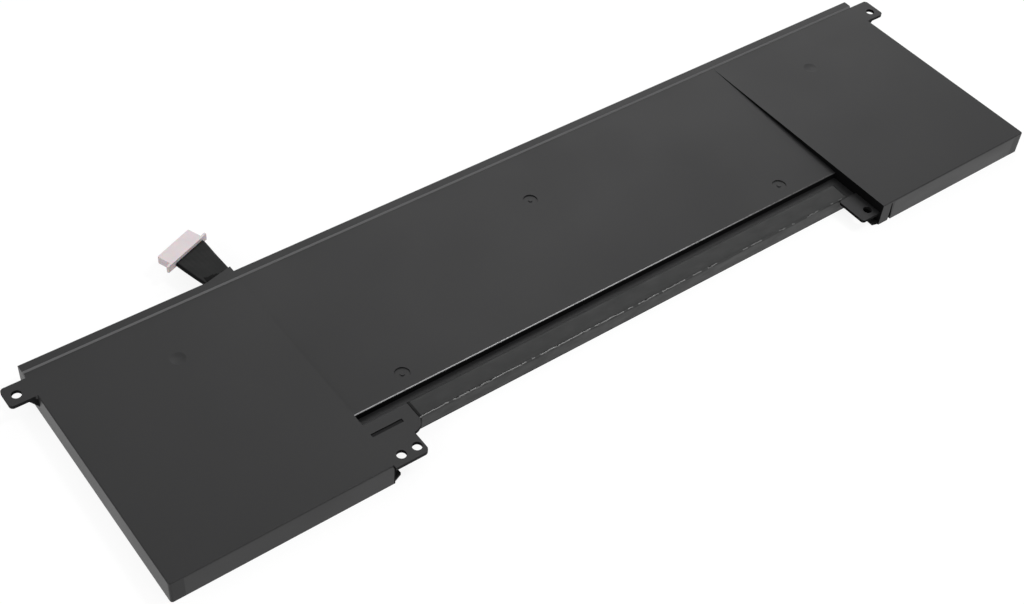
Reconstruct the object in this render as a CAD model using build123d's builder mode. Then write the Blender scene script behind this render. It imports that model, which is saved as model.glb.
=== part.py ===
"""Flat internal laptop battery: a moulded tray with two level end plates and a lower, tilted middle.

Millimetres. X runs along the battery, Y from the notched front edge to the rear, Z up.
The origin is the middle of the case's underside, tabs and lead not counted.
"""

import os

from build123d import *

os.makedirs("parts", exist_ok=True)

# The case
case_length = 330.0
case_depth = 88.0
case_height = 8.4
wall = 1.2
skin = 0.9
edge_radius = 0.35
corner_radius = 0.8
pick_tolerance = 0.01

# The raised rib along the rear edge
rib_width = 3.4
rib_rise = 0.5

# The middle section, whose plate falls towards the front to clear a touchpad
middle_length = 191.6
middle_setback = 21.9
middle_drop = 1.9
middle_edge_radius = 0.5

# The cover film on the underside
film_thickness = 0.2
film_inset = 0.6

# Screw tabs: thickness, reach from the end walls and screw holes
tab_thickness = 1.2
tab_reach = 8.0
tab_front_setback = 12.7
left_tab_rear_setback = 5.1
tab_corner = 1.3
tab_root = 0.8
gusset_reach = 2.6
gusset_height = 3.7
gusset_thickness = 1.0
screw_hole_radius = 1.5
rear_hole_end_gap = 3.4
rear_hole_setback = 9.2

# Front left shelf with its two-hole tab, over the smaller chamber where the wires meet the board
shelf_length = 14.75
shelf_rear_setback = 17.4
shelf_front_setback = 6.6
shelf_corner = 4.0
chamber_wall = 0.8
front_tab_overhang = 1.1
front_tab_start = 0.6
front_tab_width = 11.3
front_tab_corner = 1.6
front_hole_setback = 2.1
front_hole_insets = (3.3, 8.5)
groove_length = 10.4
groove_width = 1.25
groove_setback = 12.0
groove_depth = 0.3
shelf_rear_radius = 1.4

# Ear with one hole, low at the right side of the notch
ear_width = 7.8
ear_front_setback = 0.7
ear_bar_gap = 0.1
ear_top = 5.0
ear_thickness = 1.0
ear_corner = 1.0
ear_hole_inset = 2.7
ear_hole_setback = 3.9
lip_thickness = 1.0
left_lip_reach = 2.9
left_lip_setbacks = (0.4, 1.6)
right_lip_reach = 2.0
right_lip_setbacks = (0.4, 0.9)

# Trench between the board bar and the middle section
trench_floor_top = 4.2
trench_floor = 0.8

# Split in the right end's front wall
split_from_seam = 4.1
split_top_width = 0.4
split_bottom_width = 1.2

# Round moulding marks on the plates
dimple_radius = 2.4
dimple_depth = 0.3
nub_radius = 0.7
nub_height = 0.25
side_mark_inset = 38.8
side_mark_setback = 21.8
front_mark_inset = 20.8
front_mark_gap = 5.7
rear_mark_setback = 22.6

# Adhesive strips on the front walls
front_tape_thickness = 0.15
front_tape_top_gap = 0.7
front_tape_end_gap = 4.3
front_tape_left_gap = 0.4

# Board bar: the protection board in its tape wrap
bar_setback = 12.1
bar_depth = 6.9
bar_height = 5.4
bar_right_gap = 4.1
bar_left_gap = 0.3
wrap_thickness = 0.25
wrap_radius = 0.7
board_thickness = 0.8
board_foam_thickness = 1.7
board_foam_inset = 1.0
board_clearance = 0.2
board_tongue_length = 11.0
board_tongue_gap = 0.2

# Parts on the board: sizes, and where each stands from the middle of the board or of a cell's terminals
chip_size = (6.4, 4.4, 1.0)
chip_x = -13.0
switch_size = (3.3, 3.3, 0.9)
switch_pitch = 5.2
switch_count = 4
fuse_size = (5.0, 3.2, 1.3)
fuse_terminal_gap = 1.2
resistor_size = (6.3, 3.1, 0.7)
resistor_x = 11.5
capacitor_size = (1.0, 0.5, 0.5)
capacitor_pitch = 2.4
capacitor_columns = 5
capacitor_row_spacing = 3.6
capacitor_x = 0.2
thermistor_size = (1.6, 0.8, 0.8)

# Pouch cells
cell_clearance = 0.2
cell_film_gap = 0.3
wire_channel_width = 4.6
end_cell_rear_gap = 3.4
pad_thickness = 0.4
middle_cell_gap = 1.8
middle_cell_rear_gap = 2.5
middle_cell_top_gap = 0.18
cell_ledge = 8.0
ledge_thickness = 0.3
cell_radius = 1.2
cell_corner = 2.0
pad_inset = 4.0
foam_top_gap = 2.0
foam_end_gap = 1.0

# Cell terminals, nickel links and the tape over them
terminal_width = 4.0
terminal_thickness = 0.12
terminal_body_gap = 0.4
terminal_half_spacing = 11.0
middle_terminal_inset = 23.0
terminal_landing = 2.0
terminal_way_clearance = 0.5
link_width = 2.0
link_thickness = 0.15
link_front_rows = (2.4, 5.4)
link_side_rows = (1.2, 3.5)
link_way_clearance = 0.2
left_link_gap = 0.15
left_landing_inset = 1.2
left_landing_gap = 0.8
right_link_gap = 0.6
link_pad_length = 4.0
ledge_tape_thickness = 0.08
ledge_tape_inset = 1.0

# Lead: eight insulated wires, taped flat, and its connector
wire_radius = 0.42
wire_pitch = 0.88
wire_row_pitch = 1.12
wires_across = 4
wire_rows = 2
wire_bend = 2.4
wire_landing = 2.0
wire_roof_gap = 0.15
exit_width = 9.1
exit_from_seam = 3.75
sleeve_inside = 3.4
sleeve_cover = 0.2
flat_thickness = 1.5
tongue_reach = 2.1
tongue_side = 0.6
lead_end_width = 13.8
housing_size = (14.6, 4.9, 2.8)
housing_from_exit = (-4.15, 18.9, -3.3)
housing_yaw = 22.0
housing_radius = 0.3
flange_size = (18.0, 0.8, 2.6)
flange_lift = 0.3
contact_count = 8
contact_pitch = 1.6
cavity_width = 1.0
cavity_height = 1.8
cavity_depth = 3.4
contact_width = 0.5
contact_height = 1.2
contact_length = 2.8

# Places that follow from the sizes
x_end = case_length / 2
y_front = -case_depth / 2
y_rear = case_depth / 2
x_seam = middle_length / 2
y_plate_rear = y_rear - rib_width
y_middle_front = y_front + middle_setback
z_under_skin = case_height - skin
z_middle_front = case_height - middle_drop
rib_top = case_height + rib_rise
x_shelf = -x_seam + shelf_length
y_shelf_rear = y_front + shelf_rear_setback
y_shelf_front = y_front + shelf_front_setback
y_tab_front = y_rear - tab_front_setback
rear_hole_x = x_end + tab_reach - rear_hole_end_gap
rear_hole_y = y_rear - rear_hole_setback
exit_x = -x_seam - exit_from_seam
x_exit = (exit_x - exit_width / 2, exit_x + exit_width / 2)
y_bar_front = y_front + bar_setback
y_bar_rear = y_bar_front + bar_depth
x_bar_left = x_shelf + bar_left_gap
x_bar_right = x_seam - bar_right_gap
y_bar_middle = (y_bar_front + y_bar_rear) / 2
z_board = film_thickness + wrap_thickness + board_foam_thickness
z_board_top = z_board + board_thickness
z_link = z_board_top + terminal_thickness
z_ledge_way = trench_floor_top - trench_floor
y_passage_rear = y_shelf_rear - chamber_wall
y_passage_front = y_bar_front + chamber_wall
y_board_front = y_bar_front + wrap_thickness + board_clearance
y_board_rear = y_bar_rear - wrap_thickness - board_clearance
x_board_left = x_bar_left + board_clearance
x_board_right = x_bar_right - board_clearance
x_tongue_left = x_board_left - board_tongue_length
y_tongue_front = y_passage_front + board_tongue_gap
y_tongue_rear = y_passage_rear - board_tongue_gap
harness_height = (wire_rows - 1) * wire_row_pitch + 2 * wire_radius
y_harness = (y_passage_front + y_passage_rear) / 2
y_sleeve_inner = y_rear - sleeve_inside
z_harness = case_height - tab_thickness - wire_roof_gap - harness_height
z_sleeve = z_harness - sleeve_cover
z_sleeve_top = z_harness + harness_height + sleeve_cover
z_flat = z_sleeve_top - flat_thickness
x_end_cell = x_end - wall - cell_clearance
x_end_cell_inner = x_seam + wall + wire_channel_width
end_cell_width = x_end_cell - x_end_cell_inner
x_channel = -(x_seam + wall + x_end_cell_inner) / 2
y_end_cell_front = y_front + wall + cell_clearance
y_end_cell_rear = y_rear - wall - end_cell_rear_gap
y_middle_cell_front = y_middle_front + wall + cell_clearance
y_middle_cell_rear = y_rear - wall - middle_cell_rear_gap
middle_cell_width = x_seam - middle_cell_gap
z_cell = film_thickness + cell_film_gap
z_end_cell_top = z_under_skin - pad_thickness
x_end_cell_middle = x_end_cell - end_cell_width / 2
x_split = x_seam + split_from_seam
x_split_right = x_split + split_bottom_width + split_top_width
y_front_tape = (y_front, y_front + front_tape_thickness)
z_front_tape = (0, case_height - front_tape_top_gap)
front_tape_spans = (
    (-x_end + front_tape_end_gap, -x_seam - front_tape_left_gap),
    (x_split_right, x_end - front_tape_end_gap),
)
x_middle_cell_middle = x_seam / 2
middle_terminal_half_spacing = middle_cell_width / 2 - middle_terminal_inset


def middle_top(y):
    """Height of the tilted middle plate's top at a given y."""
    share = (y - y_middle_front) / (y_plate_rear - y_middle_front)
    return z_middle_front + share * (case_height - z_middle_front)


z_middle_cell_top = middle_top(y_middle_cell_front + cell_ledge) - skin - middle_cell_top_gap


def span_box(x_range, y_range, z_range, mode=Mode.ADD):
    """A box given by its limits, for use inside a part's block."""
    size = [abs(b - a) for a, b in (x_range, y_range, z_range)]
    middle = [(a + b) / 2 for a, b in (x_range, y_range, z_range)]
    with Locations(tuple(middle)):
        Box(*size, mode=mode)


def film_outline(inset):
    """The underside's outline, set in from the walls, for the film and for its seat in the tray."""
    x_outer = x_end - inset
    seam = x_seam + inset
    rear = y_rear - inset
    for side in (-1, 1):
        with Locations((side * (x_outer + seam) / 2, 0)):
            Rectangle(x_outer - seam, 2 * rear)
    with Locations((0, (y_bar_front + rear) / 2)):
        Rectangle(2 * seam, rear - y_bar_front)


# Tray: one moulding with plates, walls, rib, tabs, shelf and ear
with BuildPart() as tray:
    for side in (-1, 1):
        with BuildSketch(Plane.XY) as end_footprint:
            with Locations((side * (x_end + x_seam) / 2, (y_front + y_plate_rear) / 2)):
                Rectangle(x_end - x_seam, y_plate_rear - y_front)
            front_corners = end_footprint.vertices().group_by(Axis.Y)[0].sort_by(Axis.X)
            fillet(front_corners[0 if side < 0 else -1], corner_radius)
        extrude(amount=case_height)
        plate_edges = tray.faces(Select.LAST).sort_by(Axis.Z)[-1].edges()
        outer_edges = plate_edges.filter_by(lambda e: abs(e.center().X) > x_end - corner_radius)
        front_edges = plate_edges.group_by(Axis.Y)[0]
        fillet(outer_edges + front_edges.filter_by(Axis.X), edge_radius)
    with BuildSketch(Plane.YZ) as middle_section:
        with BuildLine():
            Polyline(
                (y_middle_front, 0),
                (y_middle_front, z_middle_front),
                (y_plate_rear, case_height),
                (y_plate_rear, 0),
                close=True,
            )
        make_face()
    extrude(amount=x_seam, both=True)
    with BuildSketch(Plane.YZ) as rib_section:
        with BuildLine():
            Polyline(
                (y_plate_rear - skin, 0),
                (y_plate_rear - skin, z_under_skin),
                (y_plate_rear - skin + rib_rise, z_under_skin),
                (y_plate_rear + rib_rise, rib_top),
                (y_rear, rib_top),
                (y_rear, 0),
                close=True,
            )
        make_face()
    extrude(amount=x_end, both=True)

    # The middle plate's front edge and the rib's edge are eased while the form is still plain
    middle_edge = (
        tray.edges()
        .filter_by(Axis.X)
        .filter_by_position(Axis.Y, y_middle_front - pick_tolerance, y_middle_front + pick_tolerance)
        .group_by(Axis.Z)[-1]
    )
    fillet(middle_edge, middle_edge_radius)
    rib_edge = tray.edges().filter_by(Axis.X).group_by(Axis.Y)[-1].group_by(Axis.Z)[-1]
    fillet(rib_edge, edge_radius)

    # Hollow inside, open at the underside
    for side in (-1, 1):
        x_inner = side * (x_seam + wall)
        x_outer = side * (x_end - wall)
        span_box((x_inner, x_outer), (y_front + wall, y_rear - wall), (0, z_under_skin), Mode.SUBTRACT)
    with BuildSketch(Plane.YZ) as middle_hollow:
        y_inner_front = y_middle_front + wall
        with BuildLine():
            Polyline(
                (y_inner_front, 0),
                (y_inner_front, middle_top(y_inner_front) - skin),
                (y_plate_rear, case_height - skin),
                (y_rear - wall, case_height - skin),
                (y_rear - wall, 0),
                close=True,
            )
        make_face()
    extrude(amount=x_seam, both=True, mode=Mode.SUBTRACT)

    # Shelf and its two-hole tab, with the chamber's walls set back under them
    with BuildSketch(Plane.XY.offset(case_height - tab_thickness)) as shelf_plan:
        with Locations(((-x_seam + x_shelf) / 2, (y_shelf_front + y_shelf_rear) / 2)):
            Rectangle(shelf_length, y_shelf_rear - y_shelf_front)
        fillet(shelf_plan.vertices().sort_by(Axis.Y)[:2].sort_by(Axis.X)[-1], shelf_corner)
        x_tab = -x_seam - front_tab_start
        tab_low = y_front - front_tab_overhang
        with Locations((x_tab + front_tab_width / 2, (tab_low + y_shelf_front) / 2)):
            Rectangle(front_tab_width, y_shelf_front - tab_low)
        tab_corner_vertex = shelf_plan.vertices().sort_by(Axis.Y)[:2].sort_by(Axis.X)[-1]
        fillet(tab_corner_vertex, front_tab_corner)
    extrude(amount=tab_thickness)
    with BuildSketch(Plane.XY):
        with Locations(((-x_seam + x_shelf) / 2, (y_bar_front + y_shelf_rear) / 2)):
            Rectangle(shelf_length, y_shelf_rear - y_bar_front)
        offset(amount=-chamber_wall, mode=Mode.SUBTRACT)
    extrude(amount=case_height - tab_thickness)
    rear_top_edge = (
        tray.edges()
        .filter_by(Axis.X)
        .filter_by_position(Axis.Y, y_shelf_rear - pick_tolerance, y_shelf_rear + pick_tolerance)
        .group_by(Axis.Z)[-1]
    )
    fillet(rear_top_edge, shelf_rear_radius)

    # Trench floor between the bar and the middle section, and the pocket at its right end
    span_box((-x_seam, x_seam), (y_bar_rear, y_middle_front), (z_ledge_way, trench_floor_top))
    span_box((-x_seam, x_shelf), (y_shelf_rear, y_bar_rear), (z_ledge_way, trench_floor_top))
    span_box((x_bar_right, x_seam), (y_bar_front, y_bar_rear), (z_ledge_way, trench_floor_top))
    span_box((x_bar_right, x_seam), (y_bar_front, y_bar_front + wall), (0, trench_floor_top))

    # Ear on the right end's side wall, with the low lips on both sides of the notch
    with BuildSketch(Plane.XY.offset(ear_top - ear_thickness)) as ear_plan:
        y_ear = (y_front + ear_front_setback, y_bar_front - ear_bar_gap)
        with Locations((x_seam - ear_width / 2, sum(y_ear) / 2)):
            Rectangle(ear_width, y_ear[1] - y_ear[0])
        fillet(ear_plan.vertices().sort_by(Axis.X)[:2], ear_corner)
    extrude(amount=ear_thickness)
    with BuildSketch(Plane.XY):
        for x_wall, x_lip, setbacks in (
            (-x_seam, -x_seam + left_lip_reach, left_lip_setbacks),
            (x_seam, x_seam - right_lip_reach, right_lip_setbacks),
        ):
            with BuildLine():
                Polyline(
                    (x_wall, y_front + setbacks[0]),
                    (x_lip, y_front + setbacks[1]),
                    (x_lip, y_bar_front),
                    (x_wall, y_bar_front),
                    close=True,
                )
            make_face()
    extrude(amount=lip_thickness)

    # Rear screw tabs, level with the plates, each with a small gusset under its front root
    for side, y_tab_rear in ((-1, y_rear - left_tab_rear_setback), (1, y_plate_rear)):
        with BuildSketch(Plane.XY.offset(case_height - tab_thickness)) as tab_plan:
            with Locations((side * (x_end + (tab_reach - wall) / 2), (y_tab_front + y_tab_rear) / 2)):
                Rectangle(tab_reach + wall, y_tab_rear - y_tab_front)
            outer = tab_plan.vertices().sort_by(Axis.X)
            fillet(outer[:2] if side < 0 else outer[-2:], tab_corner)
            with Locations((side * (x_end + tab_root / 2), y_tab_front - tab_root / 2)):
                Rectangle(tab_root, tab_root)
            with Locations((side * (x_end + tab_root), y_tab_front - tab_root)):
                Circle(tab_root, mode=Mode.SUBTRACT)
        extrude(amount=tab_thickness)
        with BuildSketch(Plane.XZ.offset(-y_tab_front)):
            z_gusset = case_height - tab_thickness
            with BuildLine():
                Polyline(
                    (side * x_end, z_gusset),
                    (side * (x_end + gusset_reach), z_gusset),
                    (side * x_end, z_gusset - gusset_height),
                    close=True,
                )
            make_face()
        extrude(amount=-gusset_thickness)

    # Tongue over the lead's way out
    with BuildSketch(Plane.XY.offset(z_under_skin)):
        x_tongue = (x_exit[0], x_exit[1] - tongue_side)
        with BuildLine():
            Polyline(
                (x_tongue[0], y_rear - wall),
                (x_tongue[0], y_rear),
                (x_tongue[1], y_rear + tongue_reach),
                (x_tongue[1], y_rear - wall),
                close=True,
            )
        make_face()
    extrude(amount=rib_top - z_under_skin)

    # Ways for the lead, the links and the cell terminals through the walls
    span_box(x_exit, (y_rear - wall, y_rear), (z_flat, z_sleeve_top), Mode.SUBTRACT)
    span_box(
        (-x_seam - wall, -x_seam),
        (y_sleeve_inner - cell_clearance, y_rear - wall),
        (0, z_under_skin),
        Mode.SUBTRACT,
    )
    y_passage = (y_passage_front, y_passage_rear)
    x_passage = (-x_seam - wall, -x_seam + chamber_wall)
    span_box(x_passage, y_passage, (0, case_height - tab_thickness), Mode.SUBTRACT)
    span_box((x_shelf - chamber_wall, x_shelf), y_passage, (0, bar_height), Mode.SUBTRACT)
    y_left_way = (y_shelf_rear, y_middle_front)
    span_box((-x_seam - wall, -x_seam), y_left_way, (0, z_ledge_way), Mode.SUBTRACT)
    y_right_way = (y_bar_front + wall, y_middle_front)
    span_box((x_seam, x_seam + wall), y_right_way, (0, z_ledge_way), Mode.SUBTRACT)
    for side in (-1, 1):
        for shift in (-middle_terminal_half_spacing, middle_terminal_half_spacing):
            x_way = side * x_middle_cell_middle + shift
            half_way = terminal_width / 2 + terminal_way_clearance
            y_way = (y_middle_front, y_middle_front + wall)
            span_box((x_way - half_way, x_way + half_way), y_way, (0, z_ledge_way), Mode.SUBTRACT)

    # Screw holes
    for side in (-1, 1):
        with Locations((side * rear_hole_x, rear_hole_y, case_height)):
            Hole(screw_hole_radius, depth=2 * tab_thickness)
    for inset in front_hole_insets:
        with Locations((-x_seam + inset, y_front + front_hole_setback, case_height)):
            Hole(screw_hole_radius, depth=2 * tab_thickness)
    with Locations((x_seam - ear_hole_inset, y_front + ear_hole_setback, ear_top)):
        Hole(screw_hole_radius, depth=2 * ear_thickness)

    # Split in the right front wall
    with BuildSketch(Plane.XZ.offset(-y_front)):
        with BuildLine():
            Polyline(
                (x_split, z_under_skin),
                (x_split + split_top_width, z_under_skin),
                (x_split + split_top_width / 2 + split_bottom_width, 0),
                (x_split + split_top_width / 2, 0),
                close=True,
            )
        make_face()
    extrude(amount=-wall, mode=Mode.SUBTRACT)

    # Groove in the shelf and the round moulding marks
    with Locations((-x_seam + groove_length / 2, y_front + groove_setback, case_height)):
        Box(groove_length, groove_width, 2 * groove_depth, mode=Mode.SUBTRACT)
    dish_radius = (dimple_radius**2 + dimple_depth**2) / (2 * dimple_depth)
    for side in (-1, 1):
        mark_middle = (side * (x_end - side_mark_inset), y_rear - side_mark_setback)
        with Locations((*mark_middle, case_height - dimple_depth + dish_radius)):
            Sphere(dish_radius, mode=Mode.SUBTRACT)
    front_mark_x = x_seam - front_mark_inset
    front_mark_y = y_middle_front + front_mark_gap
    rear_mark_y = y_rear - rear_mark_setback
    for mark_x, mark_y in ((-front_mark_x, front_mark_y), (front_mark_x, front_mark_y), (0, rear_mark_y)):
        mark_top = middle_top(mark_y)
        with Locations((mark_x, mark_y, mark_top - dimple_depth)):
            Cylinder(
                dimple_radius,
                case_height,
                align=(Align.CENTER, Align.CENTER, Align.MIN),
                mode=Mode.SUBTRACT,
            )
            Cylinder(nub_radius, nub_height, align=(Align.CENTER, Align.CENTER, Align.MIN))

    # Seats for the cover film and the front adhesive strips
    with BuildSketch(Plane.XY):
        film_outline(film_inset)
    extrude(amount=film_thickness, mode=Mode.SUBTRACT)
    for x_range in front_tape_spans:
        span_box(x_range, y_front_tape, z_front_tape, Mode.SUBTRACT)
tray.part.label = "tray"
export_step(tray.part, "parts/tray.step")


# Cover film set into the underside
with BuildPart() as cover_film:
    with BuildSketch(Plane.XY):
        film_outline(film_inset)
    extrude(amount=film_thickness)
cover_film.part.label = "cover_film"
export_step(cover_film.part, "parts/cover_film.step")


# Adhesive strips on the two front walls
with BuildPart() as front_strips:
    for x_range in front_tape_spans:
        span_box(x_range, y_front_tape, z_front_tape)
front_strips.part.label = "front_strips"
export_step(front_strips.part, "parts/front_strips.step")


def pouch_cell(x_middle, width, y_cell_front, y_cell_rear, z_top):
    """A pouch cell for use inside a part's block: a soft-edged body and its sealed ledge in front."""
    y_body = y_cell_front + cell_ledge
    with BuildSketch(Plane.XY.offset(z_cell)) as body_plan:
        with Locations((x_middle, (y_body + y_cell_rear) / 2)):
            Rectangle(width, y_cell_rear - y_body)
        fillet(body_plan.vertices(), cell_corner)
    extrude(body_plan.sketch, amount=z_top - z_cell)
    flat_faces = faces(Select.LAST).filter_by(Axis.Z)
    fillet(flat_faces.edges(), cell_radius)
    x_range = (x_middle - width / 2 + cell_corner, x_middle + width / 2 - cell_corner)
    span_box(x_range, (y_cell_front, y_body + cell_radius), (z_board_top - ledge_thickness, z_board_top))


# Two cells standing deep in the end bays, two lying across the middle bay
for cell_name, side, is_end in (
    ("cell_left", -1, True),
    ("cell_middle_left", -1, False),
    ("cell_middle_right", 1, False),
    ("cell_right", 1, True),
):
    with BuildPart() as cell:
        if is_end:
            x_cell = side * x_end_cell_middle
            pouch_cell(x_cell, end_cell_width, y_end_cell_front, y_end_cell_rear, z_end_cell_top)
        else:
            x_cell = side * x_middle_cell_middle
            pouch_cell(
                x_cell, middle_cell_width, y_middle_cell_front, y_middle_cell_rear, z_middle_cell_top
            )
    cell.part.label = cell_name
    export_step(cell.part, f"parts/{cell_name}.step")


# Adhesive pads that hold the end cells to the plates
with BuildPart() as cell_pads:
    for side in (-1, 1):
        x_pad = side * x_end_cell_middle
        half_pad = end_cell_width / 2 - pad_inset
        y_range = (y_end_cell_front + cell_ledge + pad_inset, y_end_cell_rear - pad_inset)
        span_box((x_pad - half_pad, x_pad + half_pad), y_range, (z_end_cell_top, z_under_skin))
cell_pads.part.label = "cell_pads"
export_step(cell_pads.part, "parts/cell_pads.step")


# Foam wedges between the middle cells and the tilted plate
with BuildPart() as foam_wedges:
    y_wedge = (y_middle_cell_front + cell_ledge + pad_inset, y_middle_cell_rear - pad_inset)
    for side in (-1, 1):
        x_wedge = side * x_middle_cell_middle - middle_cell_width / 2 + pad_inset
        with BuildSketch(Plane.YZ.offset(x_wedge)):
            with BuildLine():
                Polyline(
                    (y_wedge[0], z_middle_cell_top),
                    (y_wedge[0], middle_top(y_wedge[0]) - skin),
                    (y_wedge[1], middle_top(y_wedge[1]) - skin),
                    (y_wedge[1], z_middle_cell_top),
                    close=True,
                )
            make_face()
        extrude(amount=middle_cell_width - 2 * pad_inset)
foam_wedges.part.label = "foam_wedges"
export_step(foam_wedges.part, "parts/foam_wedges.step")


# Foam strips that fill the room beside and behind the end cells
with BuildPart() as foam_strips:
    z_range = (z_cell, z_under_skin - foam_top_gap)
    y_behind = (y_end_cell_rear, y_rear - wall)
    span_box((-x_end_cell + foam_end_gap, x_exit[0] - foam_end_gap), y_behind, z_range)
    span_box((x_end_cell_inner + foam_end_gap, x_end_cell - foam_end_gap), y_behind, z_range)
    y_beside = (y_bar_rear + foam_end_gap, y_end_cell_rear - cell_corner)
    span_box((x_seam + wall, x_end_cell_inner), y_beside, z_range)
foam_strips.part.label = "foam_strips"
export_step(foam_strips.part, "parts/foam_strips.step")


def terminal_box(side, is_end, is_outer):
    """The flat terminal of one cell, for use inside a part's block."""
    direction = 1 if is_outer else -1
    if is_end:
        x_terminal = side * (x_end_cell_middle + direction * terminal_half_spacing)
        y_body = y_end_cell_front + cell_ledge - terminal_body_gap
        row = link_front_rows[0 if is_outer else 1]
        y_range = (y_front + wall + row - link_width / 2, y_body)
    else:
        x_terminal = side * (x_middle_cell_middle + direction * middle_terminal_half_spacing)
        y_body = y_middle_cell_front + cell_ledge - terminal_body_gap
        y_range = (y_board_rear - terminal_landing, y_body)
    x_range = (x_terminal - terminal_width / 2, x_terminal + terminal_width / 2)
    span_box(x_range, y_range, (z_board_top, z_link))


# Positive terminals are aluminium, negative ones nickel
with BuildPart() as positive_terminals:
    for side in (-1, 1):
        for is_end in (True, False):
            terminal_box(side, is_end, side > 0)
positive_terminals.part.label = "positive_terminals"
export_step(positive_terminals.part, "parts/positive_terminals.step")

with BuildPart() as negative_terminals:
    for side in (-1, 1):
        for is_end in (True, False):
            terminal_box(side, is_end, side < 0)
negative_terminals.part.label = "negative_terminals"
export_step(negative_terminals.part, "parts/negative_terminals.step")


def strip(route, width):
    """A flat strip along straight legs, for use inside a sketch's block."""
    for (xa, ya), (xb, yb) in zip(route, route[1:]):
        with Locations(((xa + xb) / 2, (ya + yb) / 2)):
            Rectangle(abs(xb - xa) + width, abs(yb - ya) + width)


# Nickel links from the end cells to both ends of the board
y_rows = [y_front + wall + row for row in link_front_rows]
x_sides = [x_seam + wall + row for row in link_side_rows]
x_outer_terminal = x_end_cell_middle + terminal_half_spacing
x_inner_terminal = x_end_cell_middle - terminal_half_spacing
half_link = link_width / 2
left_link_width = (y_middle_front - y_bar_rear - 3 * left_link_gap) / 2
half_left = left_link_width / 2
y_left_rows = [y_bar_rear + left_link_gap + half_left]
y_left_rows.append(y_left_rows[0] + left_link_width + left_link_gap)
x_left_landings = [x_bar_left + left_landing_inset + half_left]
x_left_landings.append(x_left_landings[0] + left_link_width + left_landing_gap)
y_left_landing = y_board_rear - terminal_landing
y_right_rows = [y_bar_front + wall + link_way_clearance + half_link]
y_right_rows.append(y_right_rows[0] + link_width + right_link_gap)
x_right_landing = x_board_right - link_pad_length
with BuildPart() as nickel_links:
    with BuildSketch(Plane.XY.offset(z_link)):
        for i, x_terminal in enumerate((x_outer_terminal, x_inner_terminal)):
            strip(
                [
                    (-x_terminal, y_rows[i]),
                    (-x_sides[i], y_rows[i]),
                    (-x_sides[i], y_left_rows[i] + half_left - half_link),
                ],
                link_width,
            )
            strip(
                [
                    (-x_sides[i], y_left_rows[i]),
                    (x_left_landings[i], y_left_rows[i]),
                    (x_left_landings[i], y_left_landing),
                ],
                left_link_width,
            )
            strip(
                [
                    (x_terminal, y_rows[i]),
                    (x_sides[i], y_rows[i]),
                    (x_sides[i], y_right_rows[i]),
                    (x_right_landing, y_right_rows[i]),
                ],
                link_width,
            )
    extrude(amount=link_thickness)
nickel_links.part.label = "nickel_links"
export_step(nickel_links.part, "parts/nickel_links.step")


# Solder pads under the links on the board
with BuildPart() as solder_pads:
    for x_landing in x_left_landings:
        x_range = (x_landing - half_left, x_landing + half_left)
        span_box(x_range, (y_left_landing - half_left, y_board_rear), (z_board_top, z_link))
    for y_landing in y_right_rows:
        x_range = (x_right_landing - half_link, x_board_right - half_link)
        span_box(x_range, (y_landing - half_link, y_landing + half_link), (z_board_top, z_link))
solder_pads.part.label = "solder_pads"
export_step(solder_pads.part, "parts/solder_pads.step")


# Insulating tape over the terminals and links on the cells' ledges
with BuildPart() as ledge_tapes:
    for side in (-1, 1):
        half_tape = end_cell_width / 2 - cell_corner
        x_tape = side * x_end_cell_middle
        y_ledge = (y_end_cell_front, y_end_cell_front + cell_ledge)
        y_range = (y_ledge[0] + ledge_tape_inset, y_ledge[1] - ledge_tape_inset)
        z_tape = z_link + link_thickness
        x_range = (x_tape - half_tape, x_tape + half_tape)
        span_box(x_range, y_range, (z_tape, z_tape + ledge_tape_thickness))
        half_tape = middle_cell_width / 2 - cell_corner
        x_tape = side * x_middle_cell_middle
        y_ledge = (y_middle_cell_front, y_middle_cell_front + cell_ledge)
        y_range = (y_ledge[0] + ledge_tape_inset, y_ledge[1] - ledge_tape_inset)
        x_range = (x_tape - half_tape, x_tape + half_tape)
        span_box(x_range, y_range, (z_link, z_link + ledge_tape_thickness))
ledge_tapes.part.label = "ledge_tapes"
export_step(ledge_tapes.part, "parts/ledge_tapes.step")


# Protection board with a tongue that reaches into the wiring chamber
with BuildPart() as protection_board:
    span_box((x_board_left, x_board_right), (y_board_front, y_board_rear), (z_board, z_board_top))
    span_box((x_tongue_left, x_board_left), (y_tongue_front, y_tongue_rear), (z_board, z_board_top))
protection_board.part.label = "protection_board"
export_step(protection_board.part, "parts/protection_board.step")


def board_part(size, x_middle, y_middle=y_bar_middle):
    """One electronic part standing on the board, for use inside a part's block."""
    with Locations((x_middle, y_middle, z_board_top)):
        Box(*size, align=(Align.CENTER, Align.CENTER, Align.MIN))


with BuildPart() as gauge_chip:
    board_part(chip_size, chip_x)
gauge_chip.part.label = "gauge_chip"
export_step(gauge_chip.part, "parts/gauge_chip.step")

with BuildPart() as power_switches:
    for i in range(switch_count):
        board_part(switch_size, x_middle_cell_middle + (i - (switch_count - 1) / 2) * switch_pitch)
power_switches.part.label = "power_switches"
export_step(power_switches.part, "parts/power_switches.step")

with BuildPart() as fuse:
    x_terminal_side = x_middle_cell_middle + middle_terminal_half_spacing - terminal_width / 2
    board_part(fuse_size, x_terminal_side - fuse_terminal_gap - fuse_size[0] / 2)
fuse.part.label = "fuse"
export_step(fuse.part, "parts/fuse.step")

with BuildPart() as sense_resistor:
    board_part(resistor_size, resistor_x)
sense_resistor.part.label = "sense_resistor"
export_step(sense_resistor.part, "parts/sense_resistor.step")

with BuildPart() as capacitors:
    for i in range(capacitor_columns):
        x_capacitor = capacitor_x + (i - (capacitor_columns - 1) / 2) * capacitor_pitch
        for shift in (-capacitor_row_spacing / 2, capacitor_row_spacing / 2):
            board_part(capacitor_size, x_capacitor, y_bar_middle + shift)
capacitors.part.label = "capacitors"
export_step(capacitors.part, "parts/capacitors.step")

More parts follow.
